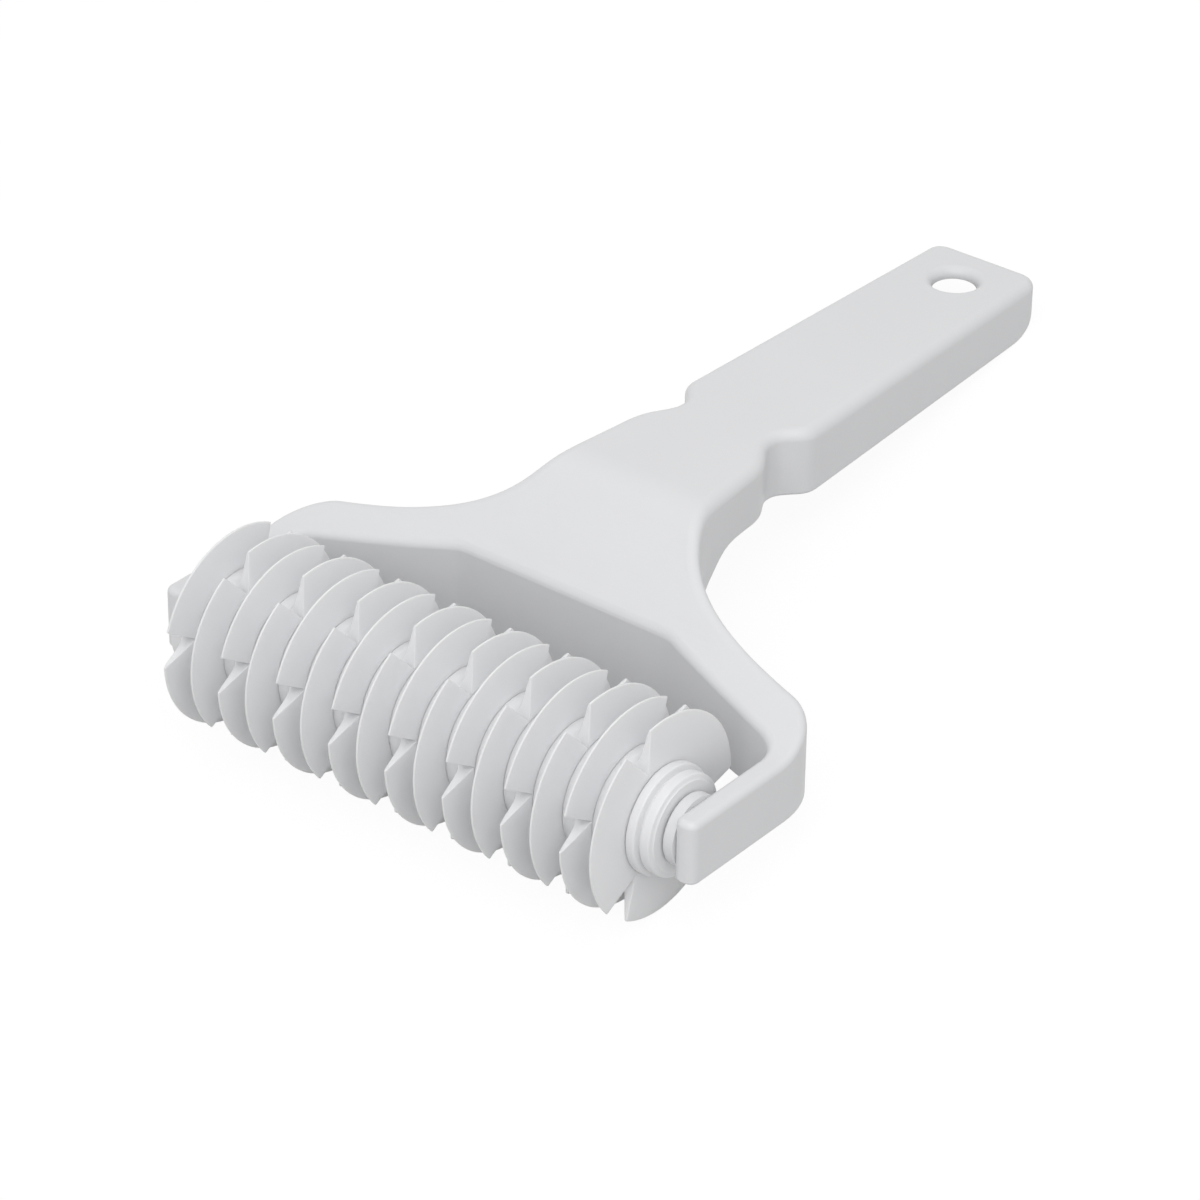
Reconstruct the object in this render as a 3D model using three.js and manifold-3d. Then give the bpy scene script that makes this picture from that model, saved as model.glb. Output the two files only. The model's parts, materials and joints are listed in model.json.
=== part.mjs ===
// Lattice roller cutter: sixteen notched cutting discs keyed on a hexagonal axle, which turns between
// the two arms of a one-piece plastic handle. Millimetres, +Z up. The tool stands as it rests on a
// table, on its blades and on the end of its grip, with the middle of its footprint at the origin.
//
// The pieces are drawn in the tool's own frame: X along the roller, Y from the roller to the grip's
// end, Z square to the grip's top, with the middle of the roller's axis at the origin.

import * as THREE from 'three';
import { mergeVertices } from 'three/addons/utils/BufferGeometryUtils.js';
import Module from 'manifold-3d';

// Cutting discs
const DISC_COUNT = 16;
const DISC_PITCH = 6.6;
const BLADE_RADIUS = 19.6;
const BLADE_RIM = 0.3; // thickness of the cutting edge
const BLADE_FOOT = 3.7; // thickness of the wedge where it leaves the hub
const HUB_RADIUS = 11.2;
const NOTCHES_PER_DISC = 3;
const NOTCH_WIDTH = 7.2; // across the mouth of a notch, at the rim
const NOTCH_FLOOR = 0.1; // height of a notch's root above the hub
const ROLLER_TURN = 20.9; // degrees that the roller is turned in this pose
const STACK_GAP = 0.3; // between neighbours along the axle

// Axle, end collar and thrust washer
const HEX_ACROSS_FLATS = 9;
const KEY_CLEARANCE = 0.3; // between the hexagon and each bore, on every side
const JOURNAL_RADIUS = 3.5;
const JOURNAL_CLEARANCE = 0.1;
const JOURNAL_DEPTH = 2.9; // length of an axle end inside its arm
const BORE_END_GAP = 0.3;
const COLLAR_RADIUS = 10.5;
const COLLAR_LENGTH = 2.7;
const COLLAR_STEP_RADIUS = 9.7;
const COLLAR_STEP_LENGTH = 2;
const WASHER_RADIUS = 8;
const WASHER_THICKNESS = 0.6;
const WASHER_CLEARANCE = 0.3; // round the axle's journal
const BOSS_RADIUS = 6.8;
const BOSS_LENGTH = 2.1;
const BOSS_ROOT = 0.2; // how far the boss runs into its arm

// Handle: plan
const ARM_THICKNESS = 4.6;
const ARM_TIP_REACH = 6.7; // from the roller's axis to the front of an arm
const ARM_TIP_ROUNDING = 1.6;
const YOKE_GAP = 13.7; // from the blades to the yoke's front wall, in the middle
const YOKE_CORNER_GAP = 4.2; // from the blades to the front wall where it meets the arms
const YOKE_FLAT_HALF = 24; // half of the front wall's straight middle
const YOKE_CORNER_ROUNDING = 5;
const FRONT_WALL_DIP = 1.5; // drop of the front wall into that corner
const SHOULDER_DEPTH = 9; // from the front wall's end to the back of a shoulder
const SHOULDER_ROUNDING = 8.5;
const PANEL_RUN = 18.7; // from the front wall back to the crease
const NECK_HALF = 17;
const GRIP_LENGTH = 114.3; // from the crease to the grip's end
const GRIP_FRONT_HALF = 15;
const GRIP_END_HALF = 12.7;
const GRIP_END_ROUNDING = 3.6;
const WAIST_FROM_CREASE = 30;
const WAIST_BACK = 8; // length of the finger notch behind its middle
const WAIST_FRONT = 11.5; // and in front of it
const WAIST_HALF = 10.9;
const WAIST_FRONT_HALF = 15.4;
const WAIST_LEAN = 1; // how far the notch leans in where it meets the neck
const FLARE_LEAN = 2.8; // how far the neck leans out as it starts to flare
const FLARE_RISE = 5.3; // how steeply the flare comes in to a shoulder
const SHOULDER_LEAN = 0.8;

// Handle: heights above the roller's axis, and walls
const ARM_TOP = 6.2;
const ARM_HEIGHT = 12.6;
const ARM_LEVEL_REACH = 20; // how far back the arms stay level
const SHOULDER_TOP = 10.5;
const GRIP_TOP = 25.7;
const GRIP_END_DEPTH = 11.5;
const NECK_DEPTH = 13.4;
const NECK_UNDER_CREASE = 9.5; // how far behind the crease the underside turns down
const FLARE_BEHIND_CREASE = 3.4; // how far behind the crease the neck starts to flare
const UNDERSIDE_FOOT = 1.3; // how far behind the front wall the underside levels out
const PROFILE_ROUNDING = 3;
const GRIP_TOE_ROUNDING = 9;
const END_LIP = 5.5; // height of the lip that is left above the open end of the grip
const WALL = 2.3;
const RIB = 1.6;
const RIB_SPACING = 16.5;
const HOLE_RADIUS = 4.7;
const HOLE_FROM_END = 11.5;

const ROUND_SEGMENTS = 36;
const JOURNAL_SEGMENTS = 24;
const CURVE_STEPS = 5;
const PAST = 5; // how far cutting solids run past the faces that they cut

const wasm = await Module();
wasm.setup();

const DEGREE = Math.PI / 180;
const stackLength = DISC_COUNT * DISC_PITCH;
const collarLength = COLLAR_LENGTH + COLLAR_STEP_LENGTH;
const armSpan = WASHER_THICKNESS + stackLength + collarLength + BOSS_LENGTH + 4 * STACK_GAP;
const armInner = armSpan / 2;
const armOuter = armInner + ARM_THICKNESS;
const washerLeft = -armInner + STACK_GAP;
const stackLeft = washerLeft + WASHER_THICKNESS + STACK_GAP;
const collarLeft = stackLeft + stackLength + STACK_GAP;
const bossFace = armInner - BOSS_LENGTH;

const armTipY = -ARM_TIP_REACH;
const frontWallY = BLADE_RADIUS + YOKE_GAP;
const frontWallEndY = BLADE_RADIUS + YOKE_CORNER_GAP;
const creaseY = frontWallY + PANEL_RUN;
const gripEndY = creaseY + GRIP_LENGTH;
const waistY = creaseY + WAIST_FROM_CREASE;
const shoulderY = frontWallEndY + SHOULDER_DEPTH;
const holeY = gripEndY - HOLE_FROM_END;
const armBottom = ARM_TOP - ARM_HEIGHT;
const gripEndBottom = GRIP_TOP - GRIP_END_DEPTH;
const neckBottom = GRIP_TOP - NECK_DEPTH;

// A closed three.js geometry becomes a solid once its shared corners are merged.
function solidFrom(geometry) {
  geometry.deleteAttribute('normal');
  geometry.deleteAttribute('uv');
  const merged = mergeVertices(geometry, 1e-4);
  const index = merged.index.array;
  const triangles = [];
  for (let i = 0; i < index.length; i += 3) {
    const [a, b, c] = [index[i], index[i + 1], index[i + 2]];
    if (a !== b && b !== c && c !== a) triangles.push(a, b, c);
  }
  return new wasm.Manifold(new wasm.Mesh({
    numProp: 3,
    vertProperties: new Float32Array(merged.attributes.position.array),
    triVerts: new Uint32Array(triangles),
  }));
}

function geometryFrom(solid) {
  const mesh = solid.getMesh();
  const geometry = new THREE.BufferGeometry();
  geometry.setAttribute('position', new THREE.BufferAttribute(mesh.vertProperties, 3));
  geometry.setIndex(new THREE.BufferAttribute(mesh.triVerts, 1));
  geometry.computeVertexNormals();
  return geometry;
}

// Drum round the X axis from x0 to x1.
function drum(radius, x0, x1, segments) {
  const geometry = new THREE.CylinderGeometry(radius, radius, x1 - x0, segments);
  geometry.rotateZ(-Math.PI / 2);
  geometry.translate((x0 + x1) / 2, 0, 0);
  return solidFrom(geometry);
}

// Outline in the plan, pulled up from z0 to z1.
function planSolid(points, z0, z1) {
  const options = { depth: z1 - z0, bevelEnabled: false };
  const geometry = new THREE.ExtrudeGeometry(new THREE.Shape(points), options);
  geometry.translate(0, 0, z0);
  return solidFrom(geometry);
}

// Outline in the side view, with Y across and Z up, pulled along X from x0 to x1.
function sideSolid(points, x0, x1) {
  const options = { depth: x1 - x0, bevelEnabled: false };
  const geometry = new THREE.ExtrudeGeometry(new THREE.Shape(points), options);
  const alongX = new THREE.Matrix4().makeBasis(
    new THREE.Vector3(0, 1, 0),
    new THREE.Vector3(0, 0, 1),
    new THREE.Vector3(1, 0, 0),
  );
  geometry.applyMatrix4(alongX);
  geometry.translate(x0, 0, 0);
  return solidFrom(geometry);
}

// Line through corners given as [u, v, rounding]. A corner with a rounding becomes a short curve.
function roundedLine(corners) {
  const path = new THREE.Path();
  const points = corners.map(([u, v]) => new THREE.Vector2(u, v));
  path.moveTo(points[0].x, points[0].y);
  for (let i = 1; i < points.length - 1; i += 1) {
    const rounding = corners[i][2] ?? 0;
    const from = points[i - 1].clone().sub(points[i]).setLength(rounding).add(points[i]);
    const to = points[i + 1].clone().sub(points[i]).setLength(rounding).add(points[i]);
    path.lineTo(from.x, from.y);
    if (rounding > 0) path.quadraticCurveTo(points[i].x, points[i].y, to.x, to.y);
  }
  path.lineTo(points.at(-1).x, points.at(-1).y);
  return path.getPoints(CURVE_STEPS);
}

// The same line moved sideways by a wall's thickness, to the left of the way that it runs.
function offsetLine(points, distance) {
  const normalAt = (i) => {
    const along = points[i + 1].clone().sub(points[i]).normalize();
    return new THREE.Vector2(-along.y, along.x);
  };
  return points.map((point, i) => {
    const before = normalAt(Math.max(i - 1, 0));
    const after = normalAt(Math.min(i, points.length - 2));
    const middle = before.clone().add(after).normalize();
    return point.clone().addScaledVector(middle, distance / middle.dot(after));
  });
}

const mirrored = (points) => points.map((p) => new THREE.Vector2(-p.x, p.y)).reverse();

// Back edge of the handle seen from above: grip end, side, finger notch, neck and flare, to a shoulder.
function backEdge() {
  const path = new THREE.Path();
  const waistBackY = waistY + WAIST_BACK;
  const waistFrontY = waistY - WAIST_FRONT;
  const flareEndX = armOuter - SHOULDER_ROUNDING;
  path.moveTo(0, gripEndY);
  path.lineTo(GRIP_END_HALF - GRIP_END_ROUNDING, gripEndY);
  path.quadraticCurveTo(GRIP_END_HALF, gripEndY, GRIP_END_HALF, gripEndY - GRIP_END_ROUNDING);
  path.lineTo(GRIP_FRONT_HALF, waistBackY);
  path.bezierCurveTo(
    GRIP_FRONT_HALF, waistBackY - WAIST_BACK * 0.4,
    WAIST_HALF, waistY + WAIST_BACK * 0.35,
    WAIST_HALF, waistY,
  );
  path.bezierCurveTo(
    WAIST_HALF, waistY - WAIST_FRONT * 0.35,
    WAIST_FRONT_HALF - WAIST_LEAN, waistFrontY + WAIST_FRONT * 0.35,
    WAIST_FRONT_HALF, waistFrontY,
  );
  path.lineTo(NECK_HALF, creaseY + FLARE_BEHIND_CREASE);
  path.bezierCurveTo(
    NECK_HALF + FLARE_LEAN, creaseY - PANEL_RUN * 0.62,
    flareEndX - (flareEndX - NECK_HALF) * 0.56, shoulderY + FLARE_RISE,
    flareEndX, shoulderY,
  );
  return path.getPoints(2 * CURVE_STEPS);
}

// Front wall of the yoke seen from above, from the middle to the end of its slanted part.
function frontWall() {
  const slantEndX = armInner - YOKE_CORNER_ROUNDING;
  return roundedLine([
    [0, frontWallY],
    [YOKE_FLAT_HALF, frontWallY, PROFILE_ROUNDING],
    [slantEndX, frontWallEndY],
  ]);
}

// One arm seen from above, from the flare's end round its tip to the end of the front wall.
function armEdge() {
  const path = new THREE.Path();
  const flareEndX = armOuter - SHOULDER_ROUNDING;
  const cornerY = frontWallEndY - YOKE_CORNER_ROUNDING;
  path.moveTo(flareEndX, shoulderY);
  path.bezierCurveTo(
    armOuter - SHOULDER_ROUNDING / 2, shoulderY - SHOULDER_LEAN,
    armOuter, shoulderY - SHOULDER_DEPTH * 0.6,
    armOuter, shoulderY - SHOULDER_DEPTH * 1.5,
  );
  path.lineTo(armOuter, armTipY + ARM_TIP_ROUNDING);
  path.quadraticCurveTo(armOuter, armTipY, armOuter - ARM_TIP_ROUNDING, armTipY);
  path.lineTo(armInner, armTipY);
  path.lineTo(armInner, cornerY);
  path.quadraticCurveTo(
    armInner, frontWallEndY - FRONT_WALL_DIP,
    armInner - YOKE_CORNER_ROUNDING, frontWallEndY,
  );
  return path.getPoints(CURVE_STEPS);
}

// Top of the handle in the side view, from an arm's tip to the grip's end.
function topLine(startY, endY) {
  return roundedLine([
    [startY, ARM_TOP],
    [ARM_LEVEL_REACH, ARM_TOP, PROFILE_ROUNDING],
    [frontWallY, SHOULDER_TOP, PROFILE_ROUNDING],
    [creaseY, GRIP_TOP, PROFILE_ROUNDING],
    [endY, GRIP_TOP],
  ]);
}

// Grip end and underside in the side view, from the top of the end back to an arm's tip.
function undersideLine() {
  return roundedLine([
    [gripEndY, GRIP_TOP],
    [gripEndY, gripEndBottom, GRIP_TOE_ROUNDING],
    [creaseY + NECK_UNDER_CREASE, neckBottom, PROFILE_ROUNDING],
    [frontWallY + UNDERSIDE_FOOT, armBottom, PROFILE_ROUNDING],
    [armTipY, armBottom],
  ]);
}

// The grip's shell and the yoke's panel are open below. A spine and cross ribs stiffen them.
function handleShell() {
  const back = backEdge();
  const front = frontWall();
  const rightHalf = [...back, ...armEdge().slice(1, -1), ...front.slice().reverse()];
  const outline = [...rightHalf, ...mirrored(rightHalf.slice(1, -1))];
  const profile = [...topLine(armTipY, gripEndY), ...undersideLine().slice(1)];
  const low = armBottom - PAST;
  const outer = planSolid(outline.reverse(), low, GRIP_TOP + PAST)
    .intersect(sideSolid(profile.reverse(), -armOuter - PAST, armOuter + PAST));

  const cavityBack = offsetLine(back, -WALL);
  const cavityFront = offsetLine(front, WALL);
  const cavityHalf = [...cavityBack, ...cavityFront.slice().reverse()];
  const cavityOutline = [...cavityHalf, ...mirrored(cavityHalf.slice(1, -1))];
  const ceiling = offsetLine(topLine(armTipY, gripEndY), -WALL);
  const cavityProfile = [...ceiling, new THREE.Vector2(gripEndY, low), new THREE.Vector2(armTipY, low)];
  const cavity = planSolid(cavityOutline.reverse(), low, GRIP_TOP + PAST)
    .intersect(sideSolid(cavityProfile.reverse(), -armOuter, armOuter));

  return outer.subtract(cavity.subtract(ribs())).subtract(openEnd()).subtract(hangingHole());
}

// Ribs as upright plates, to be kept only inside the shell: a spine along the grip, ribs across it,
// and ribs that run back from the yoke's front wall.
function ribs() {
  const low = armBottom - PAST;
  const high = GRIP_TOP + PAST;
  const plate = (x0, x1, y0, y1) => planSolid([
    new THREE.Vector2(x0, y0),
    new THREE.Vector2(x1, y0),
    new THREE.Vector2(x1, y1),
    new THREE.Vector2(x0, y1),
  ], low, high);
  const spineEndY = holeY - HOLE_RADIUS - RIB_SPACING / 4;
  let all = plate(-RIB / 2, RIB / 2, 0, spineEndY);
  for (let y = spineEndY; y > frontWallY + PANEL_RUN / 2; y -= RIB_SPACING) {
    all = all.add(plate(-NECK_HALF - PAST, NECK_HALF + PAST, y - RIB, y));
  }
  for (let x = RIB_SPACING; x < armInner - YOKE_CORNER_ROUNDING; x += RIB_SPACING) {
    all = all.add(plate(x - RIB / 2, x + RIB / 2, 0, creaseY));
    all = all.add(plate(-x - RIB / 2, -x + RIB / 2, 0, creaseY));
  }
  return all;
}

// The shell is open at the grip's end, below a lip.
function openEnd() {
  const half = GRIP_END_HALF - WALL;
  const startY = gripEndY - 2 * WALL;
  const endY = gripEndY + PAST;
  return planSolid([
    new THREE.Vector2(-half, startY),
    new THREE.Vector2(half, startY),
    new THREE.Vector2(half, endY),
    new THREE.Vector2(-half, endY),
  ], armBottom - PAST, GRIP_TOP - END_LIP);
}

function hangingHole() {
  const geometry = new THREE.CylinderGeometry(HOLE_RADIUS, HOLE_RADIUS, 2 * PAST, JOURNAL_SEGMENTS);
  geometry.rotateX(Math.PI / 2);
  geometry.translate(0, holeY, GRIP_TOP);
  return solidFrom(geometry);
}

// Each arm has a blind bore for one end of the axle, and the right arm a boss that meets the collar.
function handleGeometry() {
  const boreRadius = JOURNAL_RADIUS + JOURNAL_CLEARANCE;
  const boreEnd = armInner + JOURNAL_DEPTH + BORE_END_GAP;
  const boss = drum(BOSS_RADIUS, bossFace, armInner + BOSS_ROOT, ROUND_SEGMENTS);
  const rightBore = drum(boreRadius, bossFace - PAST, boreEnd, JOURNAL_SEGMENTS);
  const leftBore = drum(boreRadius, -boreEnd, -armInner + PAST, JOURNAL_SEGMENTS);
  return geometryFrom(handleShell().add(boss).subtract(rightBore).subtract(leftBore));
}

// Hexagonal bar along X. Its size is given across the flats.
function hexagon(acrossFlats, x0, x1) {
  return drum(acrossFlats / 2 / Math.cos(Math.PI / 6), x0, x1, 6);
}

const hexagonBore = (x0, x1) => hexagon(HEX_ACROSS_FLATS + 2 * KEY_CLEARANCE, x0 - PAST, x1 + PAST);

// One disc on its hub: a wedge with its flat cutting face at x = 0, cut by deep notches.
function discGeometry() {
  const hubLeft = STACK_GAP - DISC_PITCH;
  const section = [
    new THREE.Vector2(0, hubLeft),
    new THREE.Vector2(HUB_RADIUS, hubLeft),
    new THREE.Vector2(HUB_RADIUS, -BLADE_FOOT),
    new THREE.Vector2(BLADE_RADIUS, -BLADE_RIM),
    new THREE.Vector2(BLADE_RADIUS, 0),
    new THREE.Vector2(0, 0),
  ];
  const turned = new THREE.LatheGeometry(section, ROUND_SEGMENTS);
  turned.rotateZ(-Math.PI / 2);
  let disc = solidFrom(turned);
  const rootRadius = HUB_RADIUS + NOTCH_FLOOR;
  const reach = BLADE_RADIUS + PAST;
  const halfMouth = (NOTCH_WIDTH / 2) * (reach - rootRadius) / (BLADE_RADIUS - rootRadius);
  for (let i = 0; i < NOTCHES_PER_DISC; i += 1) {
    const turn = i * 2 * Math.PI / NOTCHES_PER_DISC;
    const corners = [[0, rootRadius], [halfMouth, reach], [-halfMouth, reach]];
    const centre = new THREE.Vector2();
    const triangle = corners.map(([u, v]) => new THREE.Vector2(u, v).rotateAround(centre, turn));
    disc = disc.subtract(sideSolid(triangle, hubLeft - PAST, PAST));
  }
  return geometryFrom(disc.subtract(hexagonBore(hubLeft, 0)));
}

// Hexagonal axle with a round journal at each end.
function axleGeometry() {
  const hexLeft = stackLeft;
  const hexRight = collarLeft + collarLength;
  const reach = armInner + JOURNAL_DEPTH;
  const bar = hexagon(HEX_ACROSS_FLATS, hexLeft, hexRight);
  return geometryFrom(bar.add(drum(JOURNAL_RADIUS, -reach, reach, JOURNAL_SEGMENTS)));
}

// Stepped collar that closes the stack at the right arm.
function collarGeometry() {
  const stepLeft = COLLAR_LENGTH;
  const ring = drum(COLLAR_RADIUS, 0, stepLeft, ROUND_SEGMENTS)
    .add(drum(COLLAR_STEP_RADIUS, stepLeft / 2, collarLength, ROUND_SEGMENTS));
  return geometryFrom(ring.subtract(hexagonBore(0, collarLength)));
}

// Washer between the stack and the left arm.
function washerGeometry() {
  const hole = drum(JOURNAL_RADIUS + WASHER_CLEARANCE, -PAST, PAST, JOURNAL_SEGMENTS);
  return geometryFrom(drum(WASHER_RADIUS, 0, WASHER_THICKNESS, ROUND_SEGMENTS).subtract(hole));
}

const plastic = (color, roughness) => new THREE.MeshStandardMaterial({ color, roughness, metalness: 0 });
const whitePlastic = () => plastic(0xe9eaec, 0.42);
const bladePlastic = () => plastic(0xe4e5e7, 0.36);

function piece(name, geometry, material, x) {
  const mesh = new THREE.Mesh(geometry, material);
  mesh.name = name;
  mesh.position.x = x;
  return mesh;
}

// Everything that turns together. Every second disc sits one hexagon flat further round.
function rollerGroup() {
  const roller = new THREE.Group();
  const disc = discGeometry();
  for (let i = 0; i < DISC_COUNT; i += 1) {
    const number = String(i + 1).padStart(2, '0');
    const mesh = piece(`cutter_disc_${number}`, disc, bladePlastic(), stackLeft + (i + 1) * DISC_PITCH);
    const stagger = i % 2 === 0 ? 180 / NOTCHES_PER_DISC : 0;
    mesh.rotation.x = stagger * DEGREE;
    roller.add(mesh);
  }
  roller.add(piece('roller_axle', axleGeometry(), whitePlastic(), 0));
  roller.add(piece('end_collar', collarGeometry(), whitePlastic(), collarLeft));
  roller.add(piece('thrust_washer', washerGeometry(), whitePlastic(), washerLeft));
  roller.rotation.x = ROLLER_TURN * DEGREE;
  return roller;
}

// The grip comes down until the first point of the underside meets the table that the blades stand on.
function restTilt() {
  const touches = undersideLine()
    .filter((point) => point.x > 2 * BLADE_RADIUS)
    .map((point) => Math.atan2(point.y, point.x) + Math.asin(BLADE_RADIUS / point.length()));
  return Math.min(...touches);
}

const tool = new THREE.Group();
tool.add(piece('handle_frame', handleGeometry(), whitePlastic(), 0));
tool.add(rollerGroup());
tool.rotation.x = -restTilt();

// Stand the tool on the table plane with the middle of its box over the origin.
tool.updateMatrixWorld(true);
const box = new THREE.Box3().setFromObject(tool, true);
const middle = box.getCenter(new THREE.Vector3());
tool.position.set(-middle.x, -middle.y, -box.min.z);

const latticeRollerCutter = new THREE.Group();
latticeRollerCutter.add(tool);

export default latticeRollerCutter;
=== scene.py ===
import bpy
import json
import math
from mathutils import Matrix, Vector
from mathutils.geometry import interpolate_bezier, intersect_point_line


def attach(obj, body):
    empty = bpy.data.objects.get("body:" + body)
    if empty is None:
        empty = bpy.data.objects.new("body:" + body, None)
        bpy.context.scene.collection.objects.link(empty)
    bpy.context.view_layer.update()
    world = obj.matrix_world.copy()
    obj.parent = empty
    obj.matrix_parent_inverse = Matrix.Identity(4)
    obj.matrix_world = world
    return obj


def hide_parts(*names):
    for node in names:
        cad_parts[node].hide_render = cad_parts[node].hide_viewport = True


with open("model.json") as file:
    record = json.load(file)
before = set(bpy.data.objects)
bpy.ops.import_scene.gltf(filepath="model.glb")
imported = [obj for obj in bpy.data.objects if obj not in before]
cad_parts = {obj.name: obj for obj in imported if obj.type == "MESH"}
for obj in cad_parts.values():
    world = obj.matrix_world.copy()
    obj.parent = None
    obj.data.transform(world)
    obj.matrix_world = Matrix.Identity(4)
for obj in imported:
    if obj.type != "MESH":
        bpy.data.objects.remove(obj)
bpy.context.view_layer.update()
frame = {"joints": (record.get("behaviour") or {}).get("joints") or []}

# Handle
# One white moulding: a flat grip with a finger notch, a panel that cranks down from it, and a yoke
# whose two arms hold the roller. It is a shell, open below and ribbed, with blind bores in the arms.

# The handle is drawn level, in millimetres, with the middle of the roller's axis at the origin. Then it
# is tipped until the grip's end meets the table, and set on the axis of the roller's joint.
rest_tilt = math.radians(12.12939)
roller_axis = Vector(frame["joints"][0]["pos_m"])
at_rest = Matrix.Translation(roller_axis) @ Matrix.Rotation(-rest_tilt, 4, "X") @ Matrix.Scale(0.001, 4)


def plate(name, outline, depth, flat):
    """A flat plate with that outline, pulled up by its depth. flat turns it into its own plane."""
    bpy.ops.object.select_all(action="DESELECT")
    bpy.ops.mesh.primitive_circle_add(vertices=len(outline), radius=1, fill_type="NGON")
    made = bpy.context.object
    made.name = name
    for corner, place in zip(made.data.vertices, outline):
        corner.co = (place[0], place[1], 0)
    bpy.ops.object.mode_set(mode="EDIT")
    bpy.ops.mesh.select_all(action="SELECT")
    bpy.ops.mesh.extrude_region_move(TRANSFORM_OT_translate={"value": (0, 0, depth)})
    bpy.ops.mesh.select_all(action="SELECT")
    bpy.ops.mesh.normals_make_consistent(inside=False)
    bpy.ops.object.mode_set(mode="OBJECT")
    made.data.transform(flat)
    return made


def cut(piece, tool, how="DIFFERENCE"):
    """Cuts, joins or intersects a piece with a tool, which is used up."""
    bpy.ops.object.select_all(action="DESELECT")
    bpy.context.view_layer.objects.active = piece
    step = piece.modifiers.new("cut", "BOOLEAN")
    step.operation = how
    step.solver = "EXACT"
    step.object = tool
    bpy.ops.object.modifier_apply(modifier=step.name)
    bpy.data.objects.remove(tool)


def soften(piece, width, rings, limit, sharper_than=30):
    """Rounds edges: by their own weights, or all that are sharper than an angle in degrees."""
    bpy.ops.object.select_all(action="DESELECT")
    bpy.context.view_layer.objects.active = piece
    step = piece.modifiers.new("soften", "BEVEL")
    step.width = width
    step.segments = rings
    step.limit_method = limit
    step.angle_limit = math.radians(sharper_than)
    step.use_clamp_overlap = False
    step.miter_outer = "MITER_ARC"
    bpy.ops.object.modifier_apply(modifier=step.name)


def bend(line, start_pull, end_pull, end, steps):
    """Leads a line on from its last point by one curve, as pulled by two handles."""
    knots = [Vector((p[0], p[1], 0)) for p in (line[-1], start_pull, end_pull, end)]
    line += [(p.x, p.y) for p in interpolate_bezier(*knots, steps + 1)[1:]]


# Right half of the plan, from the grip's end round the arm to the middle of the yoke's front wall.
grip_end = 166.3
arm_outside = 61.7
arm_inside = 57.1
arm_tip = -6.7
yoke_front = 33.3
half_plan = [(0, grip_end), (8.6, grip_end)]
bend(half_plan, (11.0, grip_end), (12.7, 164.6), (12.7, 162.2), 10)
half_plan += [(15.0, 90.6)]
bend(half_plan, (15.15, 87.6), (13.9, 86.8), (12.6, 85.3), 8)
bend(half_plan, (11.5, 84.0), (10.9, 83.2), (10.9, 81.6), 6)
bend(half_plan, (10.9, 77.8), (14.6, 76.6), (15.4, 70.6), 12)
half_plan += [(17.0, 55.4)]
bend(half_plan, (19.4, 41.6), (33.6, 38.2), (53.2, 33.2), 24)
bend(half_plan, (57.4, 32.1), (arm_outside, 27.4), (arm_outside, 19.3), 12)
half_plan += [(arm_outside, -4.7)]
bend(half_plan, (arm_outside, -5.9), (60.9, arm_tip), (59.7, arm_tip), 6)
half_plan += [(59.1, arm_tip)]
bend(half_plan, (57.9, arm_tip), (arm_inside, -5.9), (arm_inside, -4.7), 6)
half_plan += [(arm_inside, 17.6)]
bend(half_plan, (arm_inside, 20.8), (55.4, 22.8), (52.1, 23.9), 8)
half_plan += [(26.4, 32.6)]
bend(half_plan, (25.0, 33.1), (24.0, yoke_front), (22.0, yoke_front), 4)
half_plan += [(0, yoke_front)]
whole_plan = half_plan + [(-x, y) for x, y in reversed(half_plan[1:-1])]

# Side view: the top from an arm's tip over the panel to the grip's end, and the underside below it.
arm_top = 6.2
arm_bottom = -6.4
grip_top = 25.7
top_view = [(arm_tip, arm_top), (17.5, arm_top)]
bend(top_view, (20.5, arm_top), (24.0, 7.3), (28.0, 8.7), 6)
bend(top_view, (31.4, 9.9), (33.4, 10.9), (36.0, 12.9), 6)
top_view += [(47.4, 22.0)]
bend(top_view, (50.6, 24.6), (52.6, grip_top), (57.0, grip_top), 10)
top_view += [(grip_end, grip_top)]
underside = [(arm_tip, arm_bottom), (31.6, arm_bottom)]
bend(underside, (34.2, arm_bottom), (35.8, -5.5), (37.8, -4.0), 5)
underside += [(56.0, 8.7)]
bend(underside, (58.6, 10.6), (60.4, 12.7), (65.0, 12.8), 6)
bend(underside, (74.0, 12.9), (80.0, 11.9), (90.0, 12.0), 6)
underside += [(157.0, 14.0)]
bend(underside, (162.2, 14.0), (164.9, 16.6), (grip_end, 23.3), 12)

# A flat plate gets an even rounded rim above and a crisper one below.
plate_depth = 20
rim = 1.35
lower_rim_share = 0.45
handle = plate("moulded_handle", whole_plan, plate_depth, Matrix.Identity(4))
weights = handle.data.attributes.new("bevel_weight_edge", "FLOAT", "EDGE")
for edge in handle.data.edges:
    heights = [handle.data.vertices[i].co.z for i in edge.vertices]
    if heights[0] == heights[1]:
        weights.data[edge.index].value = 1 if heights[0] > 1 else lower_rim_share
soften(handle, rim, 6, "WEIGHT")


def rim_spread(x, y):
    """How much softer than on the arms and the front wall the upper rim is, at a place on the outline."""
    panel_start = 24
    on_front_wall = abs(x) < 52.5 and y < yoke_front + 0.05
    if y < panel_start or on_front_wall:
        return 1
    panel = min((y - panel_start) / 12, 1)
    finger_notch = 0.5 * math.exp(-((y - 82) / 7) ** 2)
    tail = 0.6 * min(max(y - 160, 0) / 5, 1)
    return 1 + panel - finger_notch - tail


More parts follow.
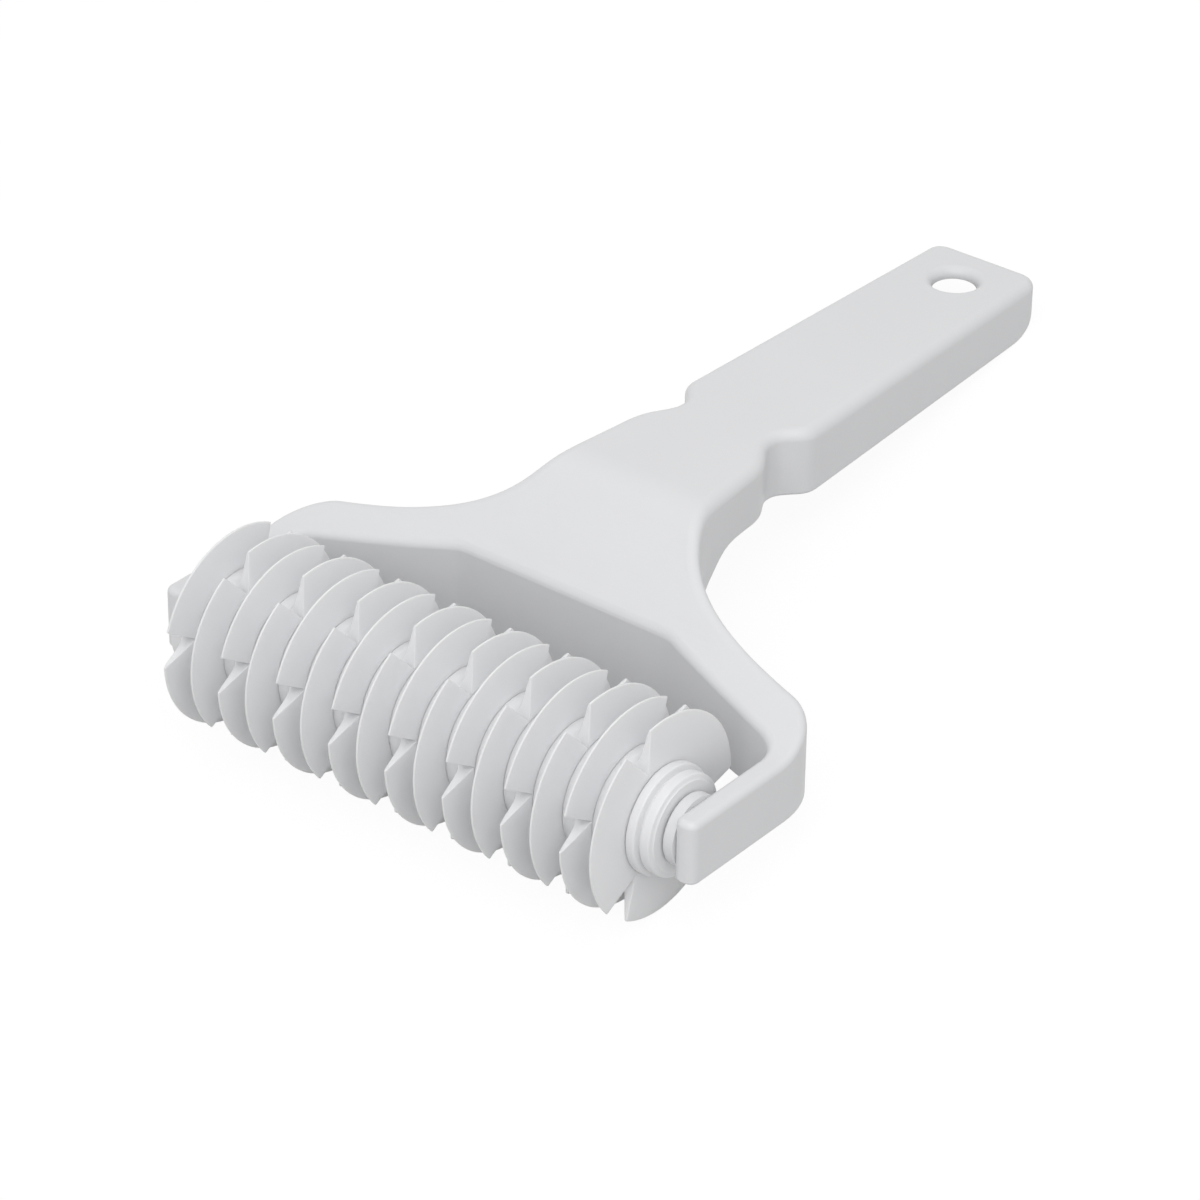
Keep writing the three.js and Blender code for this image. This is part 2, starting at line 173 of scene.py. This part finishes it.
# The upper rim is then drawn out to its softness along the grip and the panel.
outline = [Vector((x, y, 0)) for x, y in whole_plan]
for corner in handle.data.vertices:
    drop = plate_depth - corner.co.z
    if drop > rim + 0.01:
        continue
    above = Vector((corner.co.x, corner.co.y, 0))
    near = outline[0]
    for start, end in zip(outline, outline[1:] + outline[:1]):
        share = intersect_point_line(above, start, end)[1]
        spot = start.lerp(end, min(max(share, 0), 1))
        if (above - spot).length < (above - near).length:
            near = spot
    spread = rim_spread(near.x, near.y)
    drawn = near + (above - near) * spread
    corner.co = (drawn.x, drawn.y, plate_depth - drop * spread)

# It is cut across where the side view bends, and each cut is lifted to its place. The neck is a little
# narrower below than above.
bends = sorted({round(y, 3) for y, z in top_view + underside if arm_tip + 0.1 < y < grip_end - 0.1})
bpy.ops.object.select_all(action="DESELECT")
bpy.context.view_layer.objects.active = handle
bpy.ops.object.mode_set(mode="EDIT")
for place in bends:
    bpy.ops.mesh.select_all(action="SELECT")
    bpy.ops.mesh.bisect(plane_co=(0, place, 0), plane_no=(0, 1, 0))
bpy.ops.object.mode_set(mode="OBJECT")


def height(line, y):
    """Height of a line of the side view at a distance along the tool."""
    for (y0, z0), (y1, z1) in zip(line, line[1:]):
        if y <= y1:
            return z0 + (z1 - z0) * max(y - y0, 0) / (y1 - y0)
    return line[-1][1]


neck_pinch = 0.8
neck_middle = 68
neck_reach = 14
for corner in handle.data.vertices:
    if corner.co.z > plate_depth / 2:
        corner.co.z += height(top_view, corner.co.y) - plate_depth
    else:
        pinch = neck_pinch * math.exp(-((corner.co.y - neck_middle) / neck_reach) ** 2)
        if abs(corner.co.x) > 5:
            corner.co.x -= math.copysign(pinch, corner.co.x)
        corner.co.z += height(underside, corner.co.y)

# The hollow follows the outside at a wall's distance.
half_hollow = [(0, 164.0), (6.8, 164.0)]
bend(half_hollow, (9.2, 164.0), (10.4, 162.8), (10.4, 160.4), 5)
half_hollow += [(12.7, 91.0)]
bend(half_hollow, (12.8, 87.4), (8.0, 86.2), (8.0, 81.6), 8)
bend(half_hollow, (8.0, 76.2), (12.1, 74.0), (12.6, 69.6), 8)
half_hollow += [(14.3, 54.6)]
bend(half_hollow, (17.2, 38.9), (32.8, 35.7), (53.0, 30.7), 18)
half_hollow += [(53.4, 26.0), (52.6, 26.3), (25.0, 35.6), (0, 35.6)]
hollow_plan = half_hollow + [(-x, y) for x, y in reversed(half_hollow[1:-1])]
hollow_roof = 23.4
well_below = -20
hollow_side = [(20, 3.9), (28.0, 6.1), (36.0, 10.0), (47.4, 19.1)]
bend(hollow_side, (51.0, 22.0), (52.8, hollow_roof), (58.0, hollow_roof), 6)
hollow_side += [(166, hollow_roof), (166, well_below), (20, well_below)]


def on_edge(start):
    """Stands a flat plate up: its outline becomes a side view, and its depth runs along X from a start."""
    return Matrix(((0, 0, 1, start), (1, 0, 0, 0), (0, 1, 0, 0), (0, 0, 0, 1)))


hollow = plate("hollow", hollow_plan, 60, Matrix.Translation((0, 0, well_below)))
cut(hollow, plate("hollow_side", hollow_side, 140, on_edge(-70)), "INTERSECT")


def rib(low, high):
    """An upright rib between two corners in the plan, taller than the hollow."""
    bpy.ops.object.select_all(action="DESELECT")
    bpy.ops.mesh.primitive_cube_add(size=1)
    made = bpy.context.object
    size = Vector((high[0] - low[0], high[1] - low[1], 60))
    middle = Vector(((high[0] + low[0]) / 2, (high[1] + low[1]) / 2, 4))
    made.data.transform(Matrix.Translation(middle) @ Matrix.Diagonal((*size, 1)))
    return made


# A spine, cross ribs below the grip and the panel, and upright ribs in the yoke are left standing in it.
rib_width = 1.6
rib_spacing = 16.5
spine_end = 146.0
cut(hollow, rib((-rib_width / 2, 30), (rib_width / 2, spine_end)))
for step in range(7):
    back = spine_end - rib_spacing * step
    cut(hollow, rib((-30, back - rib_width), (30, back)))
for step in (-3, -2, -1, 1, 2, 3):
    place = rib_spacing * step
    cut(hollow, rib((place - rib_width / 2, 20), (place + rib_width / 2, 52)))
cut(handle, hollow)

# The shell is open at the grip's end, below a lip.
mouth_side = 11.3
mouth_front = 161.7
mouth_back = 172
mouth_depth = 40
lip_bottom = 20.9
mouth = [(-mouth_side, mouth_front), (mouth_side, mouth_front)]
mouth += [(mouth_side, mouth_back), (-mouth_side, mouth_back)]
cut(handle, plate("mouth", mouth, mouth_depth, Matrix.Translation((0, 0, lip_bottom - mouth_depth))))


def turned(name, section, steps):
    """Draws a section point by point, as distance along the axis and radius, and spins it."""
    bpy.ops.object.select_all(action="DESELECT")
    bpy.ops.mesh.primitive_plane_add(size=1)
    made = bpy.context.object
    made.name = name
    bpy.ops.object.mode_set(mode="EDIT")
    bpy.ops.mesh.select_all(action="SELECT")
    bpy.ops.mesh.merge(type="CENTER")
    bpy.ops.transform.translate(value=(section[0][0], 0, section[0][1]))
    for before, after in zip(section, section[1:]):
        move = (after[0] - before[0], 0, after[1] - before[1])
        bpy.ops.mesh.extrude_vertices_move(TRANSFORM_OT_translate={"value": move})
    bpy.ops.mesh.select_all(action="SELECT")
    bpy.ops.mesh.spin(steps=steps, angle=2 * math.pi, center=(0, 0, 0), axis=(1, 0, 0))
    bpy.ops.mesh.select_all(action="SELECT")
    bpy.ops.mesh.remove_doubles(threshold=0.0005)
    bpy.ops.mesh.normals_make_consistent(inside=False)
    bpy.ops.object.mode_set(mode="OBJECT")
    return made


def drum(radius, low, high, sides):
    """A round or many-sided bar along X, through the roller's axis."""
    bpy.ops.object.select_all(action="DESELECT")
    bpy.ops.mesh.primitive_cylinder_add(vertices=sides, radius=radius, depth=high - low)
    made = bpy.context.object
    middle = Matrix.Translation(((low + high) / 2, 0, 0))
    made.data.transform(middle @ Matrix.Rotation(math.pi / 2, 4, "Y"))
    return made


# The right arm's boss, the two blind bores and the hanging hole with its rolled rim.
boss_section = [(55.0, 0), (55.0, 6.4), (55.1, 6.65), (55.35, 6.8), (57.3, 6.8), (57.3, 0)]
cut(handle, turned("boss", boss_section, 64), "UNION")
bore_radius = 3.6
bore_end = 60.3
inside_yoke = 50.0
cut(handle, drum(bore_radius, inside_yoke, bore_end, 48))
cut(handle, drum(bore_radius, -bore_end, -inside_yoke, 48))
hole_section = [(-6, 0), (-6, 4.4), (-2.1, 4.4), (-1.4, 4.55), (-0.75, 4.95), (-0.25, 5.55)]
hole_section += [(0, 6.3), (0.4, 7.4), (4, 7.4), (4, 0)]
hole_place = 154.8
hole = turned("hole", hole_section, 64)
hole.data.transform(Matrix.Translation((0, hole_place, grip_top)) @ Matrix.Rotation(-math.pi / 2, 4, "Y"))
cut(handle, hole)
handle.data.transform(at_rest)


def smooth(piece, sharper_than):
    """Smooth shading led by the large faces, broken at edges sharper than an angle in degrees."""
    bpy.ops.object.select_all(action="DESELECT")
    piece.select_set(True)
    bpy.context.view_layer.objects.active = piece
    bpy.ops.object.shade_smooth_by_angle(angle=math.radians(sharper_than))
    step = piece.modifiers.new("flat faces lead", "WEIGHTED_NORMAL")
    step.keep_sharp = True
    bpy.ops.object.modifier_apply(modifier=step.name)


smooth(handle, 30)


def white_plastic(name, colour, shade, roughness, depth):
    """Moulded plastic: a faint mottle in its colour, a satin skin and the fine grain of the mould."""
    made = bpy.data.materials.new(name)
    made.use_nodes = True
    nodes, links = made.node_tree.nodes, made.node_tree.links
    skin = nodes["Principled BSDF"]
    place = nodes.new("ShaderNodeTexCoord")
    mottle = nodes.new("ShaderNodeTexNoise")
    mottle.inputs["Scale"].default_value = 45
    mottle.inputs["Detail"].default_value = 4
    tint = nodes.new("ShaderNodeMix")
    tint.data_type = "RGBA"
    tint.inputs["A"].default_value = (*shade, 1)
    tint.inputs["B"].default_value = (*colour, 1)
    links.new(place.outputs["Object"], mottle.inputs["Vector"])
    links.new(mottle.outputs["Fac"], tint.inputs["Factor"])
    links.new(tint.outputs["Result"], skin.inputs["Base Color"])
    sheen = nodes.new("ShaderNodeTexNoise")
    sheen.inputs["Scale"].default_value = 160
    sheen.inputs["Detail"].default_value = 3
    gloss = nodes.new("ShaderNodeMapRange")
    gloss.inputs["To Min"].default_value = roughness - 0.05
    gloss.inputs["To Max"].default_value = roughness + 0.05
    links.new(place.outputs["Object"], sheen.inputs["Vector"])
    links.new(sheen.outputs["Fac"], gloss.inputs["Value"])
    links.new(gloss.outputs["Result"], skin.inputs["Roughness"])
    grain = nodes.new("ShaderNodeTexNoise")
    grain.inputs["Scale"].default_value = 1800
    grain.inputs["Detail"].default_value = 2
    relief = nodes.new("ShaderNodeBump")
    relief.inputs["Strength"].default_value = 0.06
    relief.inputs["Distance"].default_value = 0.0002
    links.new(place.outputs["Object"], grain.inputs["Vector"])
    links.new(grain.outputs["Fac"], relief.inputs["Height"])
    links.new(relief.outputs["Normal"], skin.inputs["Normal"])
    skin.inputs["IOR"].default_value = 1.49
    skin.inputs["Subsurface Weight"].default_value = depth
    skin.inputs["Subsurface Radius"].default_value = (1, 1, 1)
    skin.inputs["Subsurface Scale"].default_value = 0.002
    return made


def coat(piece, plastic):
    """Makes a piece of that plastic all over."""
    piece.data.materials.clear()
    piece.data.materials.append(plastic)


handle_white = white_plastic("handle_plastic", (0.76, 0.765, 0.775), (0.73, 0.735, 0.745), 0.42, 0)
coat(handle, handle_white)
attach(handle, "handle")
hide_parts("handle_frame")

# Axle
# A hexagonal bar of white plastic, hidden in the roller. It carries the discs and keys them, and its
# round ends turn in the blind bores of the arms.
stack_start = -55.9
axle_shoulder = 54.7
axle_end = 60.0
journal_radius = 3.5


def hexagon(flats, low, high):
    """A six-sided bar on the roller's axis, by its width over the flats."""
    return drum(flats / 2 / math.cos(math.pi / 6), low, high, 6)


axle = hexagon(9, stack_start, axle_shoulder)
cut(axle, drum(journal_radius, -axle_end, axle_end, 48), "UNION")
soften(axle, 0.25, 2, "ANGLE", 40)
roller_turn = math.radians(20.9)
roller_place = at_rest @ Matrix.Rotation(roller_turn, 4, "X")
axle.name = "hexagonal_axle"
axle.data.transform(roller_place)
smooth(axle, 30)
roller_white = white_plastic("roller_plastic", (0.85, 0.855, 0.865), (0.82, 0.825, 0.835), 0.36, 0.6)
coat(axle, roller_white)
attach(axle, "roller")
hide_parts("roller_axle")

# Cutting discs
# Equal moulded wheels, each a hub with a blade that is hollow on its left side, flat on its right and
# split by three deep V notches. Every second disc sits one flat of the axle further round.
blade_section = [(-6.55, 0), (-6.55, 11.2), (-5.2, 11.2), (-4.3, 11.34), (-3.4, 11.75), (-2.65, 12.5)]
blade_section += [(-2.1, 13.5), (-1.65, 14.9), (-1.24, 16.5), (-0.86, 18.1), (-0.5, 19.4)]
blade_section += [(-0.36, 19.6), (-0.08, 19.6), (0, 19.46), (0, 0)]
disc = turned("cutting_disc", blade_section, 96)
notch_root = 11.25
notch_top = 24.6
notch_side = 5.75
notch_outline = [(0, notch_root), (notch_side, notch_top), (-notch_side, notch_top)]
for third in range(3):
    notch = plate("notch", notch_outline, 30, on_edge(-20))
    notch.data.transform(Matrix.Rotation(third * 2 * math.pi / 3, 4, "X"))
    cut(disc, notch)
keyed_bore = 9.6
cut(disc, hexagon(keyed_bore, -10, 10))
soften(disc, 0.1, 2, "ANGLE", 65)
coat(disc, roller_white)
disc_pitch = 6.6
for number in range(1, 17):
    copy = disc.copy()
    copy.data = disc.data.copy()
    copy.name = f"cutting_disc_{number:02d}"
    bpy.context.collection.objects.link(copy)
    stagger = math.radians(60) if number % 2 else 0
    copy.data.transform(
        at_rest
        @ Matrix.Translation((stack_start + number * disc_pitch, 0, 0))
        @ Matrix.Rotation(roller_turn + stagger, 4, "X")
    )
    smooth(copy, 62)
    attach(copy, "roller")
    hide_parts(f"cutter_disc_{number:02d}")
bpy.data.objects.remove(disc)

# End collar
# Two soft-edged steps with a groove between them, moulded as one ring of white plastic. It is keyed on
# the axle and fills the room between the last disc and the right arm's boss.
collar_section = [(49.76, 0), (49.76, 10.1), (49.9, 10.38), (50.2, 10.5), (51.4, 10.5), (51.6, 10.42)]
collar_section += [(51.7, 10.22), (51.76, 9.3), (51.9, 9.1), (52.12, 9.16), (52.3, 9.5), (52.44, 9.65)]
collar_section += [(52.6, 9.7), (54.1, 9.7), (54.28, 9.62), (54.36, 9.45), (54.4, 9.0), (54.5, 8.7)]
collar_section += [(54.7, 8.6), (54.7, 0)]
collar = turned("stepped_collar", collar_section, 96)
cut(collar, hexagon(keyed_bore, 40, 60))
collar.data.transform(roller_place)
smooth(collar, 50)
collar_white = white_plastic("collar_plastic", (0.83, 0.835, 0.845), (0.80, 0.805, 0.815), 0.36, 0.2)
coat(collar, collar_white)
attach(collar, "roller")
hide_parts("end_collar")

# Thrust washer
# A thin slip ring of white plastic with eased edges. It sits loose on the axle's left end and keeps
# the first disc off the left arm.
washer_section = [(-56.8, 3.8), (-56.8, 7.85), (-56.65, 8.0), (-56.35, 8.0), (-56.2, 7.85), (-56.2, 3.8)]
washer = turned("slip_washer", washer_section + washer_section[:1], 72)
washer.data.transform(roller_place)
smooth(washer, 30)
coat(washer, roller_white)
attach(washer, "roller")
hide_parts("thrust_washer")

# Floor
# A pale sheet of paper that the tool lies on. It gives back a little light from below, shows nearly
# white to the camera and keeps a soft shadow.
bpy.ops.object.select_all(action="DESELECT")
bpy.ops.mesh.primitive_plane_add(size=6, location=(0, 0, 0))
floor = bpy.context.object
floor.name = "floor"
paper = bpy.data.materials.new("white_paper")
paper.use_nodes = True
nodes, links = paper.node_tree.nodes, paper.node_tree.links
nodes.remove(nodes["Principled BSDF"])
matt = nodes.new("ShaderNodeBsdfDiffuse")
matt.inputs["Color"].default_value = (0.52, 0.52, 0.52, 1)
glow = nodes.new("ShaderNodeEmission")
glow.inputs["Strength"].default_value = 1.1


def seen_by_camera(nodes, links):
    """A socket that is 1 for what the camera sees itself, mirrored or through something clear."""
    path = nodes.new("ShaderNodeLightPath")
    mirrored = nodes.new("ShaderNodeMath")
    mirrored.operation = "MAXIMUM"
    straight = nodes.new("ShaderNodeMath")
    straight.operation = "MAXIMUM"
    links.new(path.outputs["Is Glossy Ray"], mirrored.inputs[0])
    links.new(path.outputs["Is Transmission Ray"], mirrored.inputs[1])
    links.new(path.outputs["Is Camera Ray"], straight.inputs[0])
    links.new(mirrored.outputs["Value"], straight.inputs[1])
    return straight.outputs["Value"]


share = nodes.new("ShaderNodeMath")
share.operation = "MULTIPLY"
share.inputs[1].default_value = 0.85
blend = nodes.new("ShaderNodeMixShader")
links.new(seen_by_camera(nodes, links), share.inputs[0])
links.new(share.outputs["Value"], blend.inputs["Fac"])
links.new(matt.outputs["BSDF"], blend.inputs[1])
links.new(glow.outputs["Emission"], blend.inputs[2])
links.new(blend.outputs["Shader"], nodes["Material Output"].inputs["Surface"])
floor.data.materials.append(paper)

# Light
# A plain white studio: a bright, even surround, and one broad, weak lamp overhead, towards the front
# and the right.
surround = bpy.data.worlds.new("studio")
bpy.context.scene.world = surround
surround.use_nodes = True
nodes, links = surround.node_tree.nodes, surround.node_tree.links
sky = nodes["Background"]
sky.inputs["Color"].default_value = (1, 1, 1, 1)
level = nodes.new("ShaderNodeMapRange")
level.inputs["To Min"].default_value = 0.66
level.inputs["To Max"].default_value = 1.0
links.new(seen_by_camera(nodes, links), level.inputs["Value"])
links.new(level.outputs["Result"], sky.inputs["Strength"])
bpy.ops.object.light_add(type="AREA", location=(0.35, -0.4, 0.9))
lamp = bpy.context.object
lamp.name = "overhead_lamp"
lamp.data.size = 0.9
lamp.data.energy = 4.8
lit_place = Vector((0, 0, 0.02))
lamp.rotation_euler = (lit_place - lamp.location).to_track_quat("-Z", "Y").to_euler()

# Camera
# Set where the photograph was taken from, with the same field of view. Its place and its directions
# are known in the level frame that the handle is drawn in.
stand = Vector((483.42, -562.30, 476.80))
sight = Vector((-0.53197, 0.66762, -0.52086))
upright = Vector((-0.33464, 0.39928, 0.85357))
bpy.ops.object.camera_add()
camera = bpy.context.object
camera.data.sensor_width = 36
camera.data.lens = 148.39
turn = at_rest.to_3x3()
ahead = (turn @ sight).normalized()
right = ahead.cross(turn @ upright).normalized()
up = right.cross(ahead)
place = Matrix.Translation(at_rest @ stand)
camera.matrix_world = place @ Matrix((right, up, -ahead)).transposed().to_4x4()
bpy.context.scene.camera = camera
bpy.context.scene.view_settings.view_transform = "Standard"
